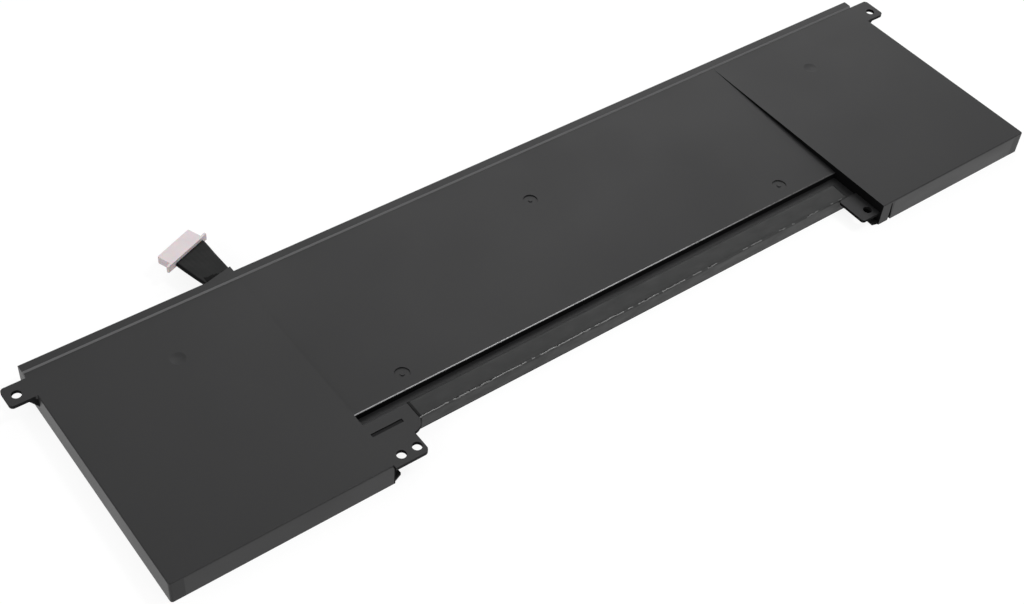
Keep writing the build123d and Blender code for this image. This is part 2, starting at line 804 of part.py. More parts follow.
with BuildPart() as thermistor:
    board_part(thermistor_size, -x_middle_cell_middle)
thermistor.part.label = "thermistor"
export_step(thermistor.part, "parts/thermistor.step")


# Foam strip that carries the board inside its wrap
with BuildPart() as board_foam:
    x_range = (x_board_left + board_foam_inset, x_board_right - board_foam_inset)
    y_range = (y_board_front + board_foam_inset, y_board_rear - board_foam_inset)
    span_box(x_range, y_range, (film_thickness + wrap_thickness, z_board))
board_foam.part.label = "board_foam"
export_step(board_foam.part, "parts/board_foam.step")


# Tape wrapped lengthwise round the board, open at both ends
with BuildPart() as board_wrap:
    with BuildSketch(Plane.YZ.offset(x_bar_left)) as wrap_section:
        with Locations((y_bar_middle, (film_thickness + bar_height) / 2)):
            Rectangle(bar_depth, bar_height - film_thickness)
        fillet(wrap_section.vertices().group_by(Axis.Y)[-1], wrap_radius)
        offset(amount=-wrap_thickness, mode=Mode.SUBTRACT)
    extrude(amount=x_bar_right - x_bar_left)
    for side in (-1, 1):
        for shift in (-middle_terminal_half_spacing, middle_terminal_half_spacing):
            x_slot = side * x_middle_cell_middle + shift
            half_slot = terminal_width / 2
            y_slot = (y_bar_rear - wrap_thickness, y_bar_rear)
            span_box((x_slot - half_slot, x_slot + half_slot), y_slot, (z_board_top, z_link), Mode.SUBTRACT)
    for x_landing in x_left_landings:
        x_slot = (x_landing - half_left, x_landing + half_left)
        span_box(x_slot, y_slot, (z_link, z_link + link_thickness), Mode.SUBTRACT)
board_wrap.part.label = "board_wrap"
export_step(board_wrap.part, "parts/board_wrap.step")


# Eight wires from the lead's sleeve along the channel to the board's tongue
x_bend = x_channel + wire_bend
y_bend = y_harness + wire_bend
with BuildPart() as lead_wires:
    for row in range(wire_rows):
        z_wire = z_harness + wire_radius + row * wire_row_pitch
        z_land = z_board_top + wire_radius + row * wire_row_pitch
        for i in range(wires_across):
            shift = (i - (wires_across - 1) / 2) * wire_pitch
            bend = wire_bend - shift
            x_wire = x_channel + shift
            y_wire = y_harness + shift
            with BuildLine():
                Line((x_wire, y_sleeve_inner, z_wire), (x_wire, y_bend, z_wire))
                CenterArc((x_bend, y_bend, z_wire), bend, 180, 90)
                Spline(
                    (x_bend, y_wire, z_wire),
                    (x_tongue_left, y_wire, z_land),
                    tangents=[(1, 0, 0), (1, 0, 0)],
                )
                Line((x_tongue_left, y_wire, z_land), (x_tongue_left + wire_landing, y_wire, z_land))
            with BuildSketch(Plane((x_wire, y_sleeve_inner, z_wire), z_dir=(0, -1, 0))):
                Circle(wire_radius)
            sweep()
lead_wires.part.label = "lead_wires"
export_step(lead_wires.part, "parts/lead_wires.step")


# Flat taped sleeve from inside the rear wall to the connector
housing_length, housing_depth, housing_height = housing_size
housing_at = (
    exit_x + housing_from_exit[0],
    y_rear + housing_from_exit[1],
    case_height + housing_from_exit[2],
)
connector_plane = Plane(Location(housing_at, (0, 0, housing_yaw)))
flange_thickness = flange_size[1]
lead_face = -housing_depth / 2 - flange_thickness
sleeve_left = connector_plane.from_local_coords(Vector(-lead_end_width / 2, lead_face, 0))
sleeve_right = connector_plane.from_local_coords(Vector(lead_end_width / 2, lead_face, 0))
with BuildPart() as lead_sleeve:
    span_box(x_exit, (y_sleeve_inner, y_rear - wall), (z_sleeve, z_sleeve_top))
    with BuildSketch(Plane.XY.offset(z_flat)):
        with BuildLine():
            Polyline(
                (x_exit[0], y_rear - wall),
                (x_exit[0], y_rear),
                (sleeve_left.X, sleeve_left.Y),
                (sleeve_right.X, sleeve_right.Y),
                (x_exit[1], y_rear),
                (x_exit[1], y_rear - wall),
                close=True,
            )
        make_face()
    extrude(amount=flat_thickness)
lead_sleeve.part.label = "lead_sleeve"
export_step(lead_sleeve.part, "parts/lead_sleeve.step")


# Connector housing with its flange on the lead's side and a row of cavities
with BuildPart(connector_plane) as connector_housing:
    with Locations((0, 0, 0)):
        Box(*housing_size, align=(Align.CENTER, Align.CENTER, Align.MIN))
    fillet(connector_housing.edges().filter_by(Axis.Z), housing_radius)
    with Locations((0, -housing_depth / 2 - flange_thickness / 2, flange_lift)):
        Box(*flange_size, align=(Align.CENTER, Align.CENTER, Align.MIN))
    with Locations((0, housing_depth / 2 - cavity_depth / 2, housing_height / 2)):
        with GridLocations(contact_pitch, 1, contact_count, 1):
            Box(cavity_width, cavity_depth, cavity_height, mode=Mode.SUBTRACT)
connector_housing.part.label = "connector_housing"
export_step(connector_housing.part, "parts/connector_housing.step")


# Spring contacts at the bottom of the cavities
with BuildPart(connector_plane) as connector_contacts:
    y_contact = housing_depth / 2 - cavity_depth + contact_length / 2
    with Locations((0, y_contact, housing_height / 2)):
        with GridLocations(contact_pitch, 1, contact_count, 1):
            Box(contact_width, contact_length, contact_height)
connector_contacts.part.label = "connector_contacts"
export_step(connector_contacts.part, "parts/connector_contacts.step")
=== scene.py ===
"""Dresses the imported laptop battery: tray, taped board bar, flat lead and plug, on a pale stage."""

import math

import bmesh
import bpy
from bpy.props import FloatProperty, FloatVectorProperty, IntProperty, PointerProperty
from bpy.types import Operator, Panel, PropertyGroup
from mathutils import Matrix, Vector, noise


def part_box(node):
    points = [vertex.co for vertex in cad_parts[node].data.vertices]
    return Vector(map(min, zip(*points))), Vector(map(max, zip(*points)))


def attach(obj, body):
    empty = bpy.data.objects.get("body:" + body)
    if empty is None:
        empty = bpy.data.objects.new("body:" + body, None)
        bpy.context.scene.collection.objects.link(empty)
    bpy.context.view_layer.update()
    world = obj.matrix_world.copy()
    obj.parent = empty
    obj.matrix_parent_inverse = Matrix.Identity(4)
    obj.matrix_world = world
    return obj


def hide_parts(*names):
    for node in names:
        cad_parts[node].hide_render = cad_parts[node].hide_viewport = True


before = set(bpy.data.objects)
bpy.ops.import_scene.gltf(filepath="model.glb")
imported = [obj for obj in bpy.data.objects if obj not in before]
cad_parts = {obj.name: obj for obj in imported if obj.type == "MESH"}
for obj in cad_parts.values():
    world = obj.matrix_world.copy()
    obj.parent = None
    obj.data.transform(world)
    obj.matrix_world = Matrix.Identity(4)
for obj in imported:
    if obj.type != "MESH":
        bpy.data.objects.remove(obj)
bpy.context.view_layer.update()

bl_info = {
    "name": "Laptop battery",
    "version": (1, 0, 0),
    "blender": (4, 5, 0),
    "location": "View3D > Sidebar > Battery",
    "description": "Dresses a flat internal laptop battery with its finishes, tape, lead and plug",
    "category": "Object",
}

MM = 0.001

# Edges are shaded sharp from SMOOTH_ANGLE on, and beside a face of more than BROAD_FACE
# square metres from BROAD_ANGLE on, so that broad faces stay flat
SMOOTH_ANGLE = math.radians(32)
BROAD_ANGLE = math.radians(2)
BROAD_FACE = 50e-6

# Edges that turn by more than this are rounded
EASED_ANGLE = math.radians(40)

# Points as near as this are merged, and triangles as flat to each other as this are joined
MERGE_DISTANCE = 0.002 * MM
FLAT_ANGLE = math.radians(0.5)

# Most values of a noise texture lie between these
NOISE_LOW = 0.3
NOISE_HIGH = 0.7

# Places on the tray that tell its faces apart, in millimetres in the CAD's frame; two values
# are a low and a high limit
NOTCH_HALF_LENGTH = 97.0
NOTCH_Y = (-46.0, -21.0)
SEAM_X = 95.8
SEAM_REACH = 0.3
TABS_X = 165.6
FRONT_RIM_Y = -44.05
REAR_TABS_Y = 32.0
TAB_RIM_Z = 7.0
RISER_Y = (40.0, 41.2)
RISER_Z = (8.2, 8.91)
LEFT_WALL_X = (-165.1, -164.5)
MIDDLE_FRONT_Y = (-22.7, -21.5)
MIDDLE_FRONT_Z = (5.9, 6.6)
GROOVE_X = (-98.0, -80.0)
GROOVE_Y = (-33.2, -30.8)
GROOVE_Z = (7.9, 8.38)

# The tray's finishes, in the order of its material slots; the second and fifth are painted
# highlights, the third and fourth painted shade
PLASTIC, PAINTED_EDGE_HIGHLIGHT, PAINTED_SHADE, PAINTED_WALL_SHADE, PAINTED_RIB_HIGHLIGHT, LEFT_WALL = range(6)

# The board tape's finishes, in the order of its material slots; the second is a painted highlight,
# the third painted shade
TAPE, PAINTED_CREASE_HIGHLIGHT, FOLD_AND_SHELF_SHADE, TAPE_FRONT = range(4)

# Right of this the moulded tongue lies over the lead's root
TONGUE_X = -103.9 * MM

# Each lamp's power by name, its azimuth and elevation in degrees and its width in metres
LAMPS = (
    ("top_power", 0, 86, 0.9),
    ("rear_left_power", 14, 50, 0.6),
    ("rear_right_power", 45, 40, 0.6),
    ("left_power", -90, 32, 0.6),
    ("front_power", 180, 38, 0.7),
    ("edge_power", 125, 58, 0.2),
)
LAMP_DISTANCE = 1.2

# The floor's half width in metres, and how far it lies under the battery
FLOOR_HALF_WIDTH = 3.0
FLOOR_DROP = 0.1 * MM

# Shares of the floor's colour: what camera, gloss and glass see as plain light, what they see
# of its lit ground, which keeps the shadow, and what scattered light finds
FLOOR_GLOW = 0.88
FLOOR_LIT = 0.14
FLOOR_BOUNCE = 0.6

# The camera's sensor in millimetres, and the nearest and farthest it sees in metres
SENSOR_WIDTH = 36.0
NEAREST_SEEN = 0.01
FARTHEST_SEEN = 20.0


class BatteryColours(PropertyGroup):
    """Colours of the battery's finishes."""

    tray: FloatVectorProperty(
        name="Tray", description="Black moulded plastic of the tray", subtype="COLOR",
        size=3, min=0, max=1, default=(0.010, 0.010, 0.0104),
    )
    film: FloatVectorProperty(
        name="Film", description="Black film on the underside and the front walls", subtype="COLOR",
        size=3, min=0, max=1, default=(0.014, 0.014, 0.0145),
    )
    tape: FloatVectorProperty(
        name="Tape", description="Black tape round the board and the lead", subtype="COLOR",
        size=3, min=0, max=1, default=(0.0100, 0.0104, 0.0103),
    )
    plug: FloatVectorProperty(
        name="Plug", description="White nylon of the plug", subtype="COLOR",
        size=3, min=0, max=1, default=(0.67, 0.605, 0.62),
    )
    foil: FloatVectorProperty(
        name="Cell foil", description="Aluminium laminate of the pouch cells", subtype="COLOR",
        size=3, min=0, max=1, default=(0.62, 0.62, 0.63),
    )
    board: FloatVectorProperty(
        name="Board", description="Solder mask of the protection board", subtype="COLOR",
        size=3, min=0, max=1, default=(0.015, 0.13, 0.05),
    )
    floor: FloatVectorProperty(
        name="Floor", description="Floor and background", subtype="COLOR",
        size=3, min=0, max=1, default=(1.0, 1.0, 1.0),
    )


class BatterySizes(PropertyGroup):
    """Sizes of the pieces made here."""

    edge_ease: FloatProperty(
        name="Edge ease", description="Rounding of the tray's moulded edges",
        unit="LENGTH", min=0, default=0.16 * MM,
    )
    tape_thickness: FloatProperty(
        name="Tape thickness", description="Thickness of the tape round the board",
        unit="LENGTH", min=0, default=0.25 * MM,
    )
    tape_wave: FloatProperty(
        name="Tape wave", description="How far the tape's front crease wanders up and down",
        unit="LENGTH", min=0, default=0.3 * MM,
    )
    wire_ridge: FloatProperty(
        name="Wire ridge", description="Height of the wires' ridges under the lead's tape",
        unit="LENGTH", min=0, default=0.03 * MM,
    )
    wire_count: IntProperty(
        name="Wires", description="Number of wires side by side in the lead", min=1, default=8,
    )
    plug_ease: FloatProperty(
        name="Plug edge ease", description="Rounding of the plug's edges",
        unit="LENGTH", min=0, default=0.22 * MM,
    )


class StageSettings(PropertyGroup):
    """Camera and lamps."""

    camera_place: FloatVectorProperty(
        name="Camera place", description="Where the camera stands", subtype="TRANSLATION",
        unit="LENGTH", size=3, default=(-0.250943, -0.266127, 0.357597),
    )
    azimuth: FloatProperty(
        name="Azimuth", description="Turn of the view from looking along +Y", subtype="ANGLE",
        default=math.radians(-40.709),
    )
    elevation: FloatProperty(
        name="Elevation", description="Angle above the horizon", subtype="ANGLE",
        default=math.radians(46.187),
    )
    roll: FloatProperty(
        name="Roll", description="Tilt of the camera about its line of sight", subtype="ANGLE",
        default=math.radians(5.553),
    )
    lens: FloatProperty(
        name="Lens", description="Focal length in millimetres", min=1, default=56.50,
    )
    world_level: FloatProperty(
        name="Surroundings", description="Strength of the even light from all round",
        min=0, default=0.28,
    )
    top_power: FloatProperty(
        name="Top lamp", description="Power of the large soft lamp overhead", unit="POWER",
        min=0, default=1.0,
    )
    rear_left_power: FloatProperty(
        name="Rear left lamp", description="Power of the soft lamp behind on the left",
        unit="POWER", min=0, default=1.15,
    )
    rear_right_power: FloatProperty(
        name="Rear right lamp", description="Power of the soft lamp behind on the right",
        unit="POWER", min=0, default=2.1,
    )
    left_power: FloatProperty(
        name="Left lamp", description="Power of the soft lamp on the left", unit="POWER",
        min=0, default=4.0,
    )
    front_power: FloatProperty(
        name="Front lamp", description="Power of the soft lamp in front", unit="POWER",
        min=0, default=3.5,
    )
    edge_power: FloatProperty(
        name="Edge lamp", description="Power of the small lamp that draws the edges", unit="POWER",
        min=0, default=4.5,
    )


def clear_materials(obj, material):
    """Puts one material on an object in place of those it has."""
    obj.data.materials.clear()
    obj.data.materials.append(material)


def start_material(name, colour, roughness, metallic=0.0, specular=0.5, coat=0.0):
    """Starts a material; returns it with its tree, its shader and its Object coordinates."""
    material = bpy.data.materials.new(name)
    material.use_nodes = True
    tree = material.node_tree
    tree.nodes.clear()
    output = tree.nodes.new("ShaderNodeOutputMaterial")
    shader = tree.nodes.new("ShaderNodeBsdfPrincipled")
    shader.inputs["Base Color"].default_value = (*colour, 1.0)
    shader.inputs["Roughness"].default_value = roughness
    shader.inputs["Metallic"].default_value = metallic
    shader.inputs["Specular IOR Level"].default_value = specular
    shader.inputs["Coat Weight"].default_value = coat
    tree.links.new(shader.outputs["BSDF"], output.inputs["Surface"])
    coordinates = tree.nodes.new("ShaderNodeTexCoord")
    return material, tree, shader, coordinates


def object_texture(tree, coordinates, kind, scale, stretch=(1.0, 1.0, 1.0)):
    """A texture of one kind on stretched Object coordinates, scaled in features a metre."""
    mapping = tree.nodes.new("ShaderNodeMapping")
    mapping.inputs["Scale"].default_value = stretch
    texture = tree.nodes.new(kind)
    texture.inputs["Scale"].default_value = scale
    tree.links.new(coordinates.outputs["Object"], mapping.inputs["Vector"])
    tree.links.new(mapping.outputs["Vector"], texture.inputs["Vector"])
    return texture


def noise_texture(tree, coordinates, scale, detail=3.0, stretch=(1.0, 1.0, 1.0)):
    """Noise on Object coordinates."""
    texture = object_texture(tree, coordinates, "ShaderNodeTexNoise", scale, stretch)
    texture.inputs["Detail"].default_value = detail
    return texture


def colour_ramp(tree, low, low_colour, high, high_colour):
    """A ramp from one colour to another between two places."""
    ramp = tree.nodes.new("ShaderNodeValToRGB")
    for element, position, colour in zip(
        ramp.color_ramp.elements, (low, high), (low_colour, high_colour)
    ):
        element.position = position
        element.color = (*colour, 1.0)
    return ramp


def value_range(tree, from_low, from_high, to_low, to_high):
    """A node that maps one range of values to another."""
    spread = tree.nodes.new("ShaderNodeMapRange")
    spread.inputs["From Min"].default_value = from_low
    spread.inputs["From Max"].default_value = from_high
    spread.inputs["To Min"].default_value = to_low
    spread.inputs["To Max"].default_value = to_high
    return spread


def vary_colour(tree, shader, texture, colour, amount):
    """The base colour wanders a little darker and lighter with a texture."""
    darker = [c * (1 - amount) for c in colour]
    lighter = [min(1.0, c * (1 + amount)) for c in colour]
    ramp = colour_ramp(tree, NOISE_LOW, darker, NOISE_HIGH, lighter)
    tree.links.new(texture.outputs["Fac"], ramp.inputs["Fac"])
    tree.links.new(ramp.outputs["Color"], shader.inputs["Base Color"])


def vary_roughness(tree, shader, texture, low, high):
    """The roughness wanders between two values with a texture."""
    spread = value_range(tree, NOISE_LOW, NOISE_HIGH, low, high)
    tree.links.new(texture.outputs["Fac"], spread.inputs["Value"])
    tree.links.new(spread.outputs["Result"], shader.inputs["Roughness"])


def add_bump(tree, shader, textures, depth):
    """Bumps of a depth in metres from pairs of a texture and its share, laid over each other."""
    last = None
    for texture, share in textures:
        bump = tree.nodes.new("ShaderNodeBump")
        bump.inputs["Strength"].default_value = share
        bump.inputs["Distance"].default_value = depth
        height = "Distance" if "Distance" in texture.outputs else "Fac"
        tree.links.new(texture.outputs[height], bump.inputs["Height"])
        if last is not None:
            tree.links.new(last.outputs["Normal"], bump.inputs["Normal"])
        last = bump
    tree.links.new(last.outputs["Normal"], shader.inputs["Normal"])


def moulded_plastic(name, colour, roughness=0.42, grain=0.02 * MM, specular=0.5):
    """Satin moulded plastic with a fine spark-eroded grain and faint cloudy variation."""
    material, tree, shader, coordinates = start_material(name, colour, roughness, specular=specular)
    cloud = noise_texture(tree, coordinates, scale=28.0, detail=4.0)
    fine = noise_texture(tree, coordinates, scale=3600.0, detail=2.0)
    vary_colour(tree, shader, cloud, colour, amount=0.06)
    vary_roughness(tree, shader, cloud, roughness - 0.03, roughness + 0.05)
    add_bump(tree, shader, [(cloud, 0.05), (fine, 0.35)], depth=grain)
    return material


def black_film(name, colour):
    """Thin satin film with long faint ripples from laying it down."""
    material, tree, shader, coordinates = start_material(
        name, colour, roughness=0.38, specular=0.29,
    )
    ripple = noise_texture(tree, coordinates, scale=60.0, stretch=(0.5, 1.6, 1.6))
    fine = noise_texture(tree, coordinates, scale=1500.0, detail=2.0)
    vary_colour(tree, shader, ripple, colour, amount=0.10)
    vary_roughness(tree, shader, ripple, 0.32, 0.48)
    add_bump(tree, shader, [(ripple, 0.6), (fine, 0.2)], depth=0.06 * MM)
    return material


def black_tape(name, colour, specular=0.5):
    """Crinkled adhesive tape, satin with small dull spots."""
    material, tree, shader, coordinates = start_material(
        name, colour, roughness=0.42, specular=specular,
    )
    crinkle = noise_texture(tree, coordinates, scale=260.0, detail=5.0, stretch=(0.6, 1.4, 1.4))
    wave = noise_texture(tree, coordinates, scale=90.0, detail=2.0, stretch=(0.5, 1.5, 1.5))
    vary_colour(tree, shader, crinkle, colour, amount=0.22)
    vary_roughness(tree, shader, crinkle, 0.34, 0.55)
    add_bump(tree, shader, [(wave, 0.7), (crinkle, 0.5)], depth=0.18 * MM)
    return material


def white_nylon(name, colour):
    """Slightly milky nylon of a plug."""
    material, tree, shader, coordinates = start_material(name, colour, roughness=0.45)
    shader.inputs["Subsurface Weight"].default_value = 0.5
    shader.inputs["Subsurface Scale"].default_value = 0.8 * MM
    cloud = noise_texture(tree, coordinates, scale=180.0)
    fine = noise_texture(tree, coordinates, scale=2400.0, detail=2.0)
    vary_colour(tree, shader, cloud, colour, amount=0.03)
    vary_roughness(tree, shader, cloud, 0.40, 0.52)
    add_bump(tree, shader, [(fine, 0.3)], depth=0.02 * MM)
    return material


def metal(name, colour, roughness, streak=(1.0, 1.0, 1.0)):
    """Plain sheet metal with rolling marks along its length."""
    material, tree, shader, coordinates = start_material(name, colour, roughness, metallic=1.0)
    marks = noise_texture(tree, coordinates, scale=900.0, detail=4.0, stretch=streak)
    vary_colour(tree, shader, marks, colour, amount=0.06)
    vary_roughness(tree, shader, marks, roughness - 0.06, roughness + 0.10)
    add_bump(tree, shader, [(marks, 0.4)], depth=0.01 * MM)
    return material


def cell_foil(name, colour):
    """Satin aluminium laminate with soft dents."""
    material, tree, shader, coordinates = start_material(
        name, colour, roughness=0.36, metallic=0.85,
    )
    dents = noise_texture(tree, coordinates, scale=45.0)
    fine = noise_texture(tree, coordinates, scale=1300.0, detail=2.0)
    vary_colour(tree, shader, dents, colour, amount=0.05)
    vary_roughness(tree, shader, fine, 0.30, 0.44)
    add_bump(tree, shader, [(dents, 0.5), (fine, 0.15)], depth=0.1 * MM)
    return material


def solder_mask(name, colour):
    """Glossy solder mask with the faint relief of traces under it."""
    material, tree, shader, coordinates = start_material(name, colour, roughness=0.22, coat=0.3)
    traces = object_texture(tree, coordinates, "ShaderNodeTexBrick", scale=320.0)
    traces.inputs["Mortar Size"].default_value = 0.03
    traces.inputs["Color1"].default_value = (*colour, 1.0)
    traces.inputs["Color2"].default_value = (*[c * 0.85 for c in colour], 1.0)
    traces.inputs["Mortar"].default_value = (*[c * 1.5 for c in colour], 1.0)
    tree.links.new(traces.outputs["Color"], shader.inputs["Base Color"])
    add_bump(tree, shader, [(traces, 0.3)], depth=0.03 * MM)
    return material


def foam(name, colour):
    """Open foam with small pores."""
    material, tree, shader, coordinates = start_material(name, colour, roughness=0.9, specular=0.2)
    pores = object_texture(tree, coordinates, "ShaderNodeTexVoronoi", scale=1700.0)
    cloud = noise_texture(tree, coordinates, scale=300.0, detail=2.0)
    vary_colour(tree, shader, cloud, colour, amount=0.15)
    add_bump(tree, shader, [(pores, 0.6)], depth=0.1 * MM)
    return material


def plain_matte(name, colour, roughness, coat=0.0):
    """Small moulded or fired parts: matte with a fine grain."""
    material, tree, shader, coordinates = start_material(name, colour, roughness, coat=coat)
    fine = noise_texture(tree, coordinates, scale=2200.0)
    vary_colour(tree, shader, fine, colour, amount=0.08)
    vary_roughness(tree, shader, fine, roughness - 0.05, roughness + 0.08)
    add_bump(tree, shader, [(fine, 0.3)], depth=0.02 * MM)
    return material


def painted_highlight_edge(name, colour, bright, x_bright, x_plain):
    """A painted highlight along an edge, bright on the left and fading to plain towards the right."""
    material, tree, shader, coordinates = start_material(name, colour, roughness=0.3)
    grain = noise_texture(tree, coordinates, scale=700.0)
    apart = tree.nodes.new("ShaderNodeSeparateXYZ")
    along = value_range(tree, x_bright, x_plain, 1.0, 0.0)
    highlight_share = tree.nodes.new("ShaderNodeMath")
    highlight_share.operation = "MULTIPLY"
    ramp = colour_ramp(tree, 0.05, colour, 0.45, bright)
    tree.links.new(coordinates.outputs["Object"], apart.inputs["Vector"])
    tree.links.new(apart.outputs["X"], along.inputs["Value"])
    tree.links.new(along.outputs["Result"], highlight_share.inputs[0])
    tree.links.new(grain.outputs["Fac"], highlight_share.inputs[1])
    tree.links.new(highlight_share.outputs["Value"], ramp.inputs["Fac"])
    tree.links.new(ramp.outputs["Color"], shader.inputs["Base Color"])
    vary_roughness(tree, shader, grain, 0.24, 0.4)
    add_bump(tree, shader, [(grain, 0.2)], depth=0.02 * MM)
    return material


def new_piece(name, mesh_maker, material, slot, *nodes):
    """A piece from a bmesh, smooth where its faces nearly meet in line, riding on the body."""
    materials = material if isinstance(material, tuple) else (material,)
    mesh = bpy.data.meshes.new(name)
    for item in materials:
        mesh.materials.append(item)
    shape = bmesh.new()
    mesh_maker(shape)
    for face in shape.faces:
        face.smooth = True
    for edge in shape.edges:
        broad = any(face.calc_area() > BROAD_FACE for face in edge.link_faces)
        edge.smooth = edge.calc_face_angle(0.0) < (BROAD_ANGLE if broad else SMOOTH_ANGLE)
    shape.to_mesh(mesh)
    shape.free()
    piece = bpy.data.objects.new(name, mesh)
    bpy.context.scene.collection.objects.link(piece)
    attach(piece, "root")
    if nodes:
        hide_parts(*nodes)
    return piece


def dress_nodes(material, *nodes):
    """Gives CAD nodes a finish."""
    for node in nodes:
        clear_materials(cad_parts[node], material)


def merged_copy(shape, node):
    """Fills a bmesh with a CAD node's shape, its doubles merged and its flat triangles joined."""
    shape.from_mesh(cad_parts[node].data)
    bmesh.ops.remove_doubles(shape, verts=shape.verts, dist=MERGE_DISTANCE)
    bmesh.ops.dissolve_limit(
        shape, angle_limit=FLAT_ANGLE, use_dissolve_boundaries=False,
        verts=shape.verts, edges=shape.edges, delimit={"NORMAL"},
    )


def ease_edges(piece, width, segments):
    """Rounds a piece's sharper edges, clamped so that short ones throw no spikes."""
    ease = piece.modifiers.new("eased_edges", "BEVEL")
    ease.width = width
    ease.segments = segments
    ease.limit_method = "ANGLE"
    ease.angle_limit = EASED_ANGLE
    ease.use_clamp_overlap = True
    return ease


def noise_along(x, per_metre, *seed):
    """Noise from -1 to 1 along X, with so many features a metre."""
    return noise.noise(Vector((x * per_metre, *seed)))


def inside(value, limits):
    """Whether a value lies between two limits."""
    low, high = limits
    return low < value < high


def tray_finish(face):
    """Which finish one of the tray's faces gets, by its place and by how it is turned, painted
    highlights and painted shade among them.
    """
    x, y, z = face.calc_center_median() / MM
    normal = face.normal
    in_groove = inside(x, GROOVE_X) and inside(y, GROOVE_Y) and inside(z, GROOVE_Z)
    # Painted shade on the groove's floor and sides
    if in_groove and abs(normal.y) < 0.99:
        return PAINTED_SHADE
    on_middle = abs(x) < NOTCH_HALF_LENGTH
    at_middle_front = on_middle and inside(y, MIDDLE_FRONT_Y) and inside(z, MIDDLE_FRONT_Z)
    # Painted highlight along the middle plate's rounded front edge
    if at_middle_front and 0.6 < normal.z < 0.98:
        return PAINTED_EDGE_HIGHLIGHT
    if inside(x, LEFT_WALL_X) and normal.x < -0.9:
        return LEFT_WALL
    # Painted highlight on the rib's riser
    if inside(y, RISER_Y) and inside(z, RISER_Z) and abs(normal.z) < 0.97:
        return PAINTED_RIB_HIGHLIGHT
    in_notch = on_middle and inside(y, NOTCH_Y)
    at_seam = abs(normal.x) > 0.9 and abs(abs(x) - SEAM_X) < SEAM_REACH
    on_tab = abs(x) > TABS_X
    # Painted shade on the walls in the notch, at the seams and on the tabs: a little dark on the
    # rims, nearly black elsewhere
    if abs(normal.z) < 0.35 and (in_notch or at_seam or on_tab):
        on_rim = y < FRONT_RIM_Y or (on_tab and y < REAR_TABS_Y and z > TAB_RIM_Z)
        return PAINTED_SHADE if on_rim else PAINTED_WALL_SHADE
    return PLASTIC


class BATTERY_OT_tray(Operator):
    """Eased copy of the moulded tray, and the film and strips on it"""

    bl_idname = "battery.tray"
    bl_label = "Tray and film"

    def execute(self, context):
        colours = context.scene.battery_colours
        sizes = context.scene.battery_sizes

        def tray_shape(shape):
            merged_copy(shape, "tray")
            for face in shape.faces:
                face.material_index = tray_finish(face)

        plastic = moulded_plastic("satin_black_moulding", colours.tray, specular=0.23)
        # Painted highlight on the middle plate's front edge, bright on the left and plain towards the
        # right
        edge_highlight = painted_highlight_edge(
            "rubbed_front_edge", colours.tray, bright=(0.26, 0.26, 0.265),
            x_bright=0.0, x_plain=95 * MM,
        )
        # Painted shade: darker, duller copies of the moulding for the groove, the rims and the walls
        # in the notch and seams
        shaded_colour = [0.6 * c for c in colours.tray]
        shaded_plastic = moulded_plastic("rough_sunk_plastic", shaded_colour, roughness=0.6, specular=0.10)
        shaded_wall_colour = [0.15 * c for c in colours.tray]
        shaded_wall = moulded_plastic("dull_wall_plastic", shaded_wall_colour, roughness=0.7, specular=0.06)
        # Painted highlight on the rib's riser, far lighter than the moulding
        rib_highlight = moulded_plastic(
            "rib_riser_plastic", (0.12, 0.12, 0.122), roughness=0.4, specular=0.23,
        )
        left_wall = moulded_plastic(
            "end_wall_plastic", colours.tray, grain=0.05 * MM, specular=0.35,
        )
        finishes = (plastic, edge_highlight, shaded_plastic, shaded_wall, rib_highlight, left_wall)
        tray = new_piece("tray_moulding", tray_shape, finishes, "tray_plastic", "tray")
        ease_edges(tray, sizes.edge_ease, segments=2)
        flatter = tray.modifiers.new("flat_faces_lead", "WEIGHTED_NORMAL")
        flatter.weight = 100
        flatter.keep_sharp = True
        film = black_film("black_film", colours.film)
        dress_nodes(film, "cover_film", "front_strips")
        return {"FINISHED"}


class BATTERY_OT_cells(Operator):
    """Finishes of the four pouch cells, their foam and their terminals"""

    bl_idname = "battery.cells"
    bl_label = "Cells"

    def execute(self, context):
        colours = context.scene.battery_colours
        foil = cell_foil("pouch_laminate", colours.foil)
        dress_nodes(foil, "cell_left", "cell_middle_left", "cell_middle_right", "cell_right")
        adhesive = plain_matte("clear_adhesive", (0.7, 0.7, 0.66), roughness=0.5)
        dress_nodes(adhesive, "cell_pads")
        black_foam = foam("black_foam", (0.02, 0.02, 0.02))
        dress_nodes(black_foam, "foam_wedges", "foam_strips", "board_foam")
        rolled = (0.3, 4.0, 1.0)
        aluminium = metal("terminal_aluminium", (0.82, 0.82, 0.83), roughness=0.3, streak=rolled)
        dress_nodes(aluminium, "positive_terminals")
        nickel = metal("rolled_nickel", (0.66, 0.62, 0.56), roughness=0.28, streak=rolled)
        dress_nodes(nickel, "negative_terminals", "nickel_links")
        amber = plain_matte("amber_tape", (0.55, 0.25, 0.03), roughness=0.25, coat=0.4)
        dress_nodes(amber, "ledge_tapes")
        return {"FINISHED"}


class BATTERY_OT_board(Operator):
    """Finishes of the protection board and the parts on it"""

    bl_idname = "battery.board"
    bl_label = "Board"

    def execute(self, context):
        colours = context.scene.battery_colours
        dress_nodes(solder_mask("green_solder_mask", colours.board), "protection_board")
        solder = metal("tinned_solder", (0.7, 0.7, 0.71), roughness=0.35)
        dress_nodes(solder, "solder_pads")
        epoxy = plain_matte("chip_epoxy", (0.02, 0.02, 0.022), roughness=0.6)
        dress_nodes(epoxy, "gauge_chip", "power_switches", "thermistor")
        white = plain_matte("white_ceramic", (0.75, 0.75, 0.72), roughness=0.4)
        dress_nodes(white, "fuse")
        alloy = metal("resistor_alloy", (0.42, 0.39, 0.36), roughness=0.42)
        dress_nodes(alloy, "sense_resistor")
        tan = plain_matte("tan_ceramic", (0.45, 0.32, 0.2), roughness=0.55)
        dress_nodes(tan, "capacitors")
        return {"FINISHED"}


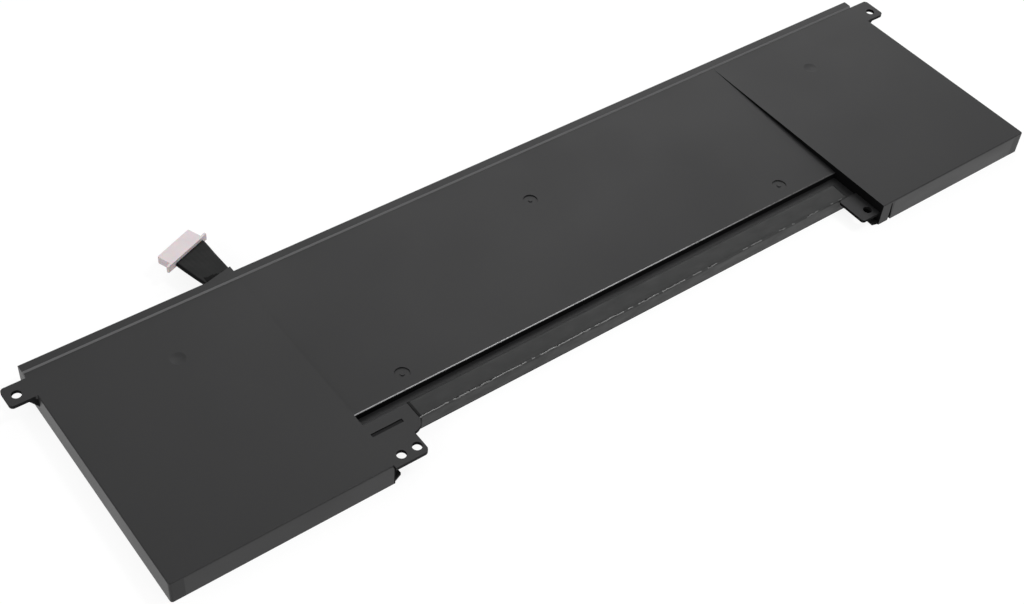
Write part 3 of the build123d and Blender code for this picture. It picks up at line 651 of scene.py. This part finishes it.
class BATTERY_OT_wrap(Operator):
    """Tape wrapped round the board, with a painted highlight on its wandering crease and painted
    shade beside it
    """

    bl_idname = "battery.wrap"
    bl_label = "Board wrap"

    def execute(self, context):
        colours = context.scene.battery_colours
        sizes = context.scene.battery_sizes
        columns = 330
        rows = 8
        top_radius = 0.55 * MM
        low_radius = 0.3 * MM

        # The gap beside the chamber, and how far from there on the tape is painted dark as the shadow
        # under the shelf
        chamber_gap = 1.1 * MM
        dark_end = 0.9 * MM

        # How far behind the front the painted highlight of the crease and the painted shade of the
        # fold lie, how much they wander, and how far down from the top the crease may reach
        crease_start = 0.1 * MM
        crease_end = 0.38 * MM
        fold_end = 0.7 * MM
        wander_depth = 0.22 * MM
        rim_depth = 0.42 * MM

        low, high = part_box("board_wrap")
        low.x += chamber_gap
        middle = (low + high) / 2
        size = high - low

        def long_edges(shape):
            """Edges that run along the bar."""
            return [e for e in shape.edges if abs(e.verts[0].co.x - e.verts[1].co.x) > size.x / 2]

        def tape_finish(face):
            """Which of the tape's finishes a face gets; the crease's painted highlight and the fold's
            painted shade thin out to the right.
            """
            place = face.calc_center_median()
            back = place.y - low.y + wander_depth * noise_along(place.x, 520.0, 5.7, 2.1)
            along = (place.x - low.x) / size.x
            patchy = 1.3 * noise_along(place.x, 330.0, 0.7, 2.1) + 0.65 - 0.8 * along
            on_rim = place.z > high.z - rim_depth
            # Painted highlight along the crease at the top front rim
            if on_rim and crease_start < back < crease_end and patchy > 0.0:
                return PAINTED_CREASE_HIGHLIGHT
            # Painted shade in the fold behind the crease
            if place.z > middle.z and crease_end < back < fold_end and patchy > 0.15:
                return FOLD_AND_SHELF_SHADE
            # Painted shadow under the shelf at the bar's left end
            if place.x - low.x < dark_end:
                return FOLD_AND_SHELF_SHADE
            return TAPE_FRONT if face.normal.y < -0.6 else TAPE

        def wrinkle(vert):
            """Lets the tape sag between its wrinkles, most along the front."""
            place = Vector((vert.co.x * 170.0, vert.co.y * 420.0, vert.co.z * 300.0))
            fine = noise.fractal(place, 1.0, 2.0, 3)
            slow = noise_along(vert.co.x, 62.0, 3.7, 1.3)
            quick = noise_along(vert.co.x, 240.0, 8.7, 1.3)
            rise = (vert.co.z - low.z) / size.z
            front = (high.y - vert.co.y) / size.y
            dip = sizes.tape_wave * (0.45 * slow + 0.3 * quick + 0.25 * fine - 0.75)
            vert.co.z += dip * rise * (0.2 + 0.8 * front ** 3)
            inward = 1 if vert.co.y < middle.y else -1
            vert.co.y += 0.12 * sizes.tape_wave * (1.0 + fine) * inward * min(1.0, rise * 2)

        def wrap_shape(shape):
            """A box without its ends, its long edges rounded, cut fine and wrinkled."""
            bmesh.ops.create_cube(shape, size=1.0)
            bmesh.ops.scale(shape, vec=size, verts=shape.verts)
            bmesh.ops.translate(shape, vec=middle, verts=shape.verts)
            ends = [f for f in shape.faces if abs(f.normal.x) > 0.5]
            bmesh.ops.delete(shape, geom=ends, context="FACES_ONLY")
            top_edges = [e for e in long_edges(shape) if e.verts[0].co.z > middle.z]
            low_edges = [e for e in long_edges(shape) if e.verts[0].co.z < middle.z]
            bmesh.ops.bevel(
                shape, geom=top_edges, offset=top_radius, segments=5, profile=0.5,
                affect="EDGES", material=-1,
            )
            bmesh.ops.bevel(
                shape, geom=[e for e in low_edges if e.is_valid], offset=low_radius, segments=2,
                profile=0.5, affect="EDGES", material=-1,
            )
            bmesh.ops.subdivide_edges(
                shape, edges=long_edges(shape), cuts=columns, use_grid_fill=True,
            )
            wide = [
                e for e in shape.edges
                if (e.verts[0].co - e.verts[1].co).length > 2 * MM
                and abs(e.verts[0].co.x - e.verts[1].co.x) < 0.1 * MM
            ]
            bmesh.ops.subdivide_edges(shape, edges=wide, cuts=rows, use_grid_fill=True)
            for face in shape.faces:
                face.material_index = tape_finish(face)
            for vert in shape.verts:
                wrinkle(vert)

        tape = black_tape("board_tape", colours.tape, specular=0.23)
        # Painted highlight along the tape's crease, bright on the left and plain towards the right
        crease = painted_highlight_edge(
            "creased_tape", colours.tape, bright=(0.085, 0.085, 0.085),
            x_bright=20 * MM, x_plain=170 * MM,
        )
        # Painted shade for the fold behind the crease and under the shelf at the bar's left end
        fold_and_shelf_shade = black_tape("tape_fold_shade", [0.25 * c for c in colours.tape], specular=0.1)
        front_tape = black_tape("board_tape_front", colours.tape, specular=0.38)
        finishes = (tape, crease, fold_and_shelf_shade, front_tape)
        wrap = new_piece("board_tape_wrap", wrap_shape, finishes, "black_tape", "board_wrap")
        wall = wrap.modifiers.new("tape_wall", "SOLIDIFY")
        wall.thickness = sizes.tape_thickness
        wall.offset = -1.0
        return {"FINISHED"}


class BATTERY_OT_lead(Operator):
    """Flat taped lead between the rear wall and the plug, and the wires inside"""

    bl_idname = "battery.lead"
    bl_label = "Lead"

    def execute(self, context):
        colours = context.scene.battery_colours
        sizes = context.scene.battery_sizes
        thickness = 1.5 * MM
        rows = 48
        columns = 56

        # How far the tape's upper side falls at its long sides, at the plug and at the wall,
        # and how deep its creases are
        side_fall = 0.55 * MM
        plug_fall = 0.35 * MM
        wall_fall = 0.5 * MM
        crease_depth = 0.12 * MM

        # Where the tongue's and the wall's shade on the root end, and how ragged the ends are
        tongue_shade_y = 47.35 * MM
        wall_shade_y = 44.6 * MM
        shade_slant = 0.05
        shade_ragged = 0.6 * MM

        # Ends of the tape: straight behind the rear wall, slanted at the plug
        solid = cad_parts["lead_sleeve"].data
        low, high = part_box("lead_sleeve")
        near = [v.co for v in solid.vertices if v.co.y < low.y + 0.1 * MM]
        far = [v.co for v in solid.vertices if v.co.y > low.y + 10 * MM]
        x_left = min(co.x for co in near)
        x_right = max(co.x for co in near)
        y_wall = low.y + 3.0 * MM
        far_left = min(far, key=lambda co: co.x).to_2d().to_3d()
        far_right = max(far, key=lambda co: co.y).to_2d().to_3d()
        sideways = (far_right - far_left).normalized()
        far_left += sideways * 1.1 * MM
        far_right += sideways * 0.5 * MM

        def lead_place(co):
            """Where a point of the cube goes: u runs across the lead, t from wall to plug."""
            u = co.x + 0.5
            t = co.y + 0.5
            bow = math.sin(math.pi * t) * MM
            left = Vector((x_left, y_wall, 0)).lerp(far_left, t) + Vector((-0.1, -0.15, 0)) * bow
            right = Vector((x_right, y_wall, 0)).lerp(far_right, t) + Vector((-0.15, -0.1, 0)) * bow
            point = left.lerp(right, u)
            side = side_fall * max(0.0, 1.0 - min(u, 1.0 - u) * 20.0) ** 2
            end = plug_fall * max(0.0, (t - 0.93) / 0.07) ** 2
            if co.z < 0:
                point.z = high.z - thickness + 0.5 * side + 0.5 * end
                return point
            ridge = sizes.wire_ridge * (abs(math.sin(math.pi * u * sizes.wire_count)) - 1.0)
            fade = 0.1 + 0.9 * t * t
            root = wall_fall * max(0.0, 1.0 - t * 5.0) ** 2
            crease = crease_depth * (noise_along(point.x, 230.0, point.y * 310.0, 0.4) - 0.6)
            point.z = high.z + ridge * fade - side - end - root + crease
            return point

        def in_shade(face):
            """Whether a face gets the painted shade: on a rolled side, or at the root in the shade of
            the tongue and the wall.
            """
            place = face.calc_center_median()
            shade_end = tongue_shade_y if place.x > TONGUE_X else wall_shade_y
            shade_end -= shade_slant * (place.x - x_left)
            shade_end += shade_ragged * noise_along(place.x, 700.0, 4.1, 0.3)
            return abs(face.normal.z) < 0.8 or place.y < shade_end

        def lead_shape(shape):
            """A cube cut fine across and along, then put in its place point by point."""
            bmesh.ops.create_cube(shape, size=1.0)
            runs = [e for e in shape.edges if abs(e.verts[0].co.y - e.verts[1].co.y) > 0.5]
            bmesh.ops.subdivide_edges(shape, edges=runs, cuts=rows, use_grid_fill=True)
            widths = [e for e in shape.edges if abs(e.verts[0].co.x - e.verts[1].co.x) > 0.5]
            bmesh.ops.subdivide_edges(shape, edges=widths, cuts=columns, use_grid_fill=True)
            for vert in shape.verts:
                vert.co = lead_place(vert.co)
            bmesh.ops.recalc_face_normals(shape, faces=shape.faces)
            for face in shape.faces:
                face.material_index = 1 if in_shade(face) else 0

        tape = black_tape("lead_tape", [0.7 * c for c in colours.tape], specular=0.11)
        root_shade = black_tape("lead_root_shade", [0.2 * c for c in colours.tape], specular=0.05)
        new_piece("lead_tape_sleeve", lead_shape, (tape, root_shade), "black_tape", "lead_sleeve")
        jacket = plain_matte("black_wire_jacket", (0.02, 0.02, 0.02), roughness=0.45)
        dress_nodes(jacket, "lead_wires")
        return {"FINISHED"}


class BATTERY_OT_plug(Operator):
    """White plug at the lead's end with its flange and cavities, and the contacts in it"""

    bl_idname = "battery.plug"
    bl_label = "Plug"

    def execute(self, context):
        colours = context.scene.battery_colours
        sizes = context.scene.battery_sizes

        def plug_shape(shape):
            merged_copy(shape, "connector_housing")

        nylon = white_nylon("plug_nylon", colours.plug)
        plug = new_piece("plug_housing", plug_shape, nylon, "white_nylon", "connector_housing")
        ease = ease_edges(plug, sizes.plug_ease, segments=3)
        ease.harden_normals = True
        gold = metal("gold_plate", (0.83, 0.62, 0.28), roughness=0.25)
        dress_nodes(gold, "connector_contacts")
        return {"FINISHED"}


def soft_lamp(name, power, azimuth, elevation, width):
    """A square soft lamp that looks at the battery's middle, by its turn from +Y and its height."""
    turn = math.radians(azimuth)
    height = math.radians(elevation)
    away = Vector((
        math.sin(turn) * math.cos(height), math.cos(turn) * math.cos(height), math.sin(height),
    ))
    lamp = bpy.data.lights.new(name, "AREA")
    lamp.shape = "SQUARE"
    lamp.size = width
    lamp.energy = power
    holder = bpy.data.objects.new(name, lamp)
    bpy.context.scene.collection.objects.link(holder)
    holder.location = away * LAMP_DISTANCE
    holder.rotation_euler = (-away).to_track_quat("-Z", "Y").to_euler()


def looking_rays(tree):
    """One for rays from the camera, from gloss and through glass."""
    path = tree.nodes.new("ShaderNodeLightPath")
    last = path.outputs["Is Camera Ray"]
    for kind in ("Is Glossy Ray", "Is Transmission Ray"):
        largest = tree.nodes.new("ShaderNodeMath")
        largest.operation = "MAXIMUM"
        tree.links.new(last, largest.inputs[0])
        tree.links.new(path.outputs[kind], largest.inputs[1])
        last = largest.outputs["Value"]
    return last


def diffuse(tree, colour, share):
    """A matte shader in a share of a colour."""
    shader = tree.nodes.new("ShaderNodeBsdfDiffuse")
    shader.inputs["Color"].default_value = (*[share * c for c in colour], 1.0)
    return shader


def pale_floor_material(colour):
    """White floor that keeps a faint shadow, and is greyer to scattered light."""
    material = bpy.data.materials.new("pale_floor")
    material.use_nodes = True
    tree = material.node_tree
    tree.nodes.clear()
    output = tree.nodes.new("ShaderNodeOutputMaterial")
    glow = tree.nodes.new("ShaderNodeEmission")
    glow.inputs["Color"].default_value = (*colour, 1.0)
    glow.inputs["Strength"].default_value = FLOOR_GLOW
    lit = diffuse(tree, colour, FLOOR_LIT)
    bounce = diffuse(tree, colour, FLOOR_BOUNCE)
    both = tree.nodes.new("ShaderNodeAddShader")
    mix = tree.nodes.new("ShaderNodeMixShader")
    tree.links.new(glow.outputs["Emission"], both.inputs[0])
    tree.links.new(lit.outputs["BSDF"], both.inputs[1])
    tree.links.new(looking_rays(tree), mix.inputs["Fac"])
    tree.links.new(bounce.outputs["BSDF"], mix.inputs[1])
    tree.links.new(both.outputs["Shader"], mix.inputs[2])
    tree.links.new(mix.outputs["Shader"], output.inputs["Surface"])
    return material


def background(tree, colour, strength):
    """A background of one colour and strength."""
    shader = tree.nodes.new("ShaderNodeBackground")
    shader.inputs["Color"].default_value = (*colour, 1.0)
    shader.inputs["Strength"].default_value = strength
    return shader


def pale_surroundings(colour, level):
    """A world that looks plain in one colour and lights the battery evenly at a level."""
    world = bpy.data.worlds.new("pale_surroundings")
    world.use_nodes = True
    tree = world.node_tree
    tree.nodes.clear()
    output = tree.nodes.new("ShaderNodeOutputWorld")
    soft = background(tree, (1.0, 1.0, 1.0), level)
    seen = background(tree, colour, 1.0)
    mix = tree.nodes.new("ShaderNodeMixShader")
    tree.links.new(looking_rays(tree), mix.inputs["Fac"])
    tree.links.new(soft.outputs["Background"], mix.inputs[1])
    tree.links.new(seen.outputs["Background"], mix.inputs[2])
    tree.links.new(mix.outputs["Shader"], output.inputs["Surface"])
    return world


class BATTERY_OT_stage(Operator):
    """Pale floor, white surroundings, soft lamps and the camera"""

    bl_idname = "battery.stage"
    bl_label = "Stage"

    def execute(self, context):
        colours = context.scene.battery_colours
        settings = context.scene.battery_stage
        scene = context.scene

        mesh = bpy.data.meshes.new("floor")
        shape = bmesh.new()
        bmesh.ops.create_grid(shape, x_segments=2, y_segments=2, size=FLOOR_HALF_WIDTH)
        shape.to_mesh(mesh)
        shape.free()
        floor = bpy.data.objects.new("floor", mesh)
        scene.collection.objects.link(floor)
        floor.location = (0, 0, -FLOOR_DROP)
        clear_materials(floor, pale_floor_material(colours.floor))

        scene.world = pale_surroundings(colours.floor, settings.world_level)
        for name, azimuth, elevation, width in LAMPS:
            soft_lamp(name, getattr(settings, name), azimuth, elevation, width)

        lens = bpy.data.cameras.new("camera")
        lens.lens = settings.lens
        lens.sensor_width = SENSOR_WIDTH
        lens.clip_start = NEAREST_SEEN
        lens.clip_end = FARTHEST_SEEN
        camera = bpy.data.objects.new("camera", lens)
        scene.collection.objects.link(camera)
        azimuth, elevation, roll = settings.azimuth, settings.elevation, settings.roll
        ahead = Vector((
            -math.sin(azimuth) * math.cos(elevation), math.cos(azimuth) * math.cos(elevation),
            -math.sin(elevation),
        ))
        right = Vector((math.cos(azimuth), math.sin(azimuth), 0))
        up = right.cross(ahead)
        turned_right = math.cos(roll) * right + math.sin(roll) * up
        turned_up = -math.sin(roll) * right + math.cos(roll) * up
        turn = Matrix((turned_right, turned_up, -ahead)).transposed()
        camera.matrix_world = Matrix.Translation(Vector(settings.camera_place)) @ turn.to_4x4()
        scene.camera = camera
        return {"FINISHED"}


class BATTERY_PT_panel(Panel):
    """The battery's pieces in the sidebar"""

    bl_label = "Laptop battery"
    bl_idname = "BATTERY_PT_panel"
    bl_space_type = "VIEW_3D"
    bl_region_type = "UI"
    bl_category = "Battery"

    def draw(self, context):
        for operator in OPERATORS:
            self.layout.operator(operator.bl_idname)
        scene = context.scene
        for group in (scene.battery_colours, scene.battery_sizes, scene.battery_stage):
            box = self.layout.box()
            for name in group.__annotations__:
                box.prop(group, name)


GROUPS = (BatteryColours, BatterySizes, StageSettings)
OPERATORS = (
    BATTERY_OT_tray,
    BATTERY_OT_cells,
    BATTERY_OT_board,
    BATTERY_OT_wrap,
    BATTERY_OT_lead,
    BATTERY_OT_plug,
    BATTERY_OT_stage,
)


def register():
    for item in (*GROUPS, *OPERATORS, BATTERY_PT_panel):
        bpy.utils.register_class(item)
    bpy.types.Scene.battery_colours = PointerProperty(type=BatteryColours)
    bpy.types.Scene.battery_sizes = PointerProperty(type=BatterySizes)
    bpy.types.Scene.battery_stage = PointerProperty(type=StageSettings)


def unregister():
    del bpy.types.Scene.battery_stage
    del bpy.types.Scene.battery_sizes
    del bpy.types.Scene.battery_colours
    for item in reversed((*GROUPS, *OPERATORS, BATTERY_PT_panel)):
        bpy.utils.unregister_class(item)


def main():
    """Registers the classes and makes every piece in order."""
    register()
    bpy.context.scene.view_settings.view_transform = "Standard"
    bpy.ops.battery.tray()
    bpy.ops.battery.cells()
    bpy.ops.battery.board()
    bpy.ops.battery.wrap()
    bpy.ops.battery.lead()
    bpy.ops.battery.plug()
    bpy.ops.battery.stage()


if __name__ == "__main__":
    main()
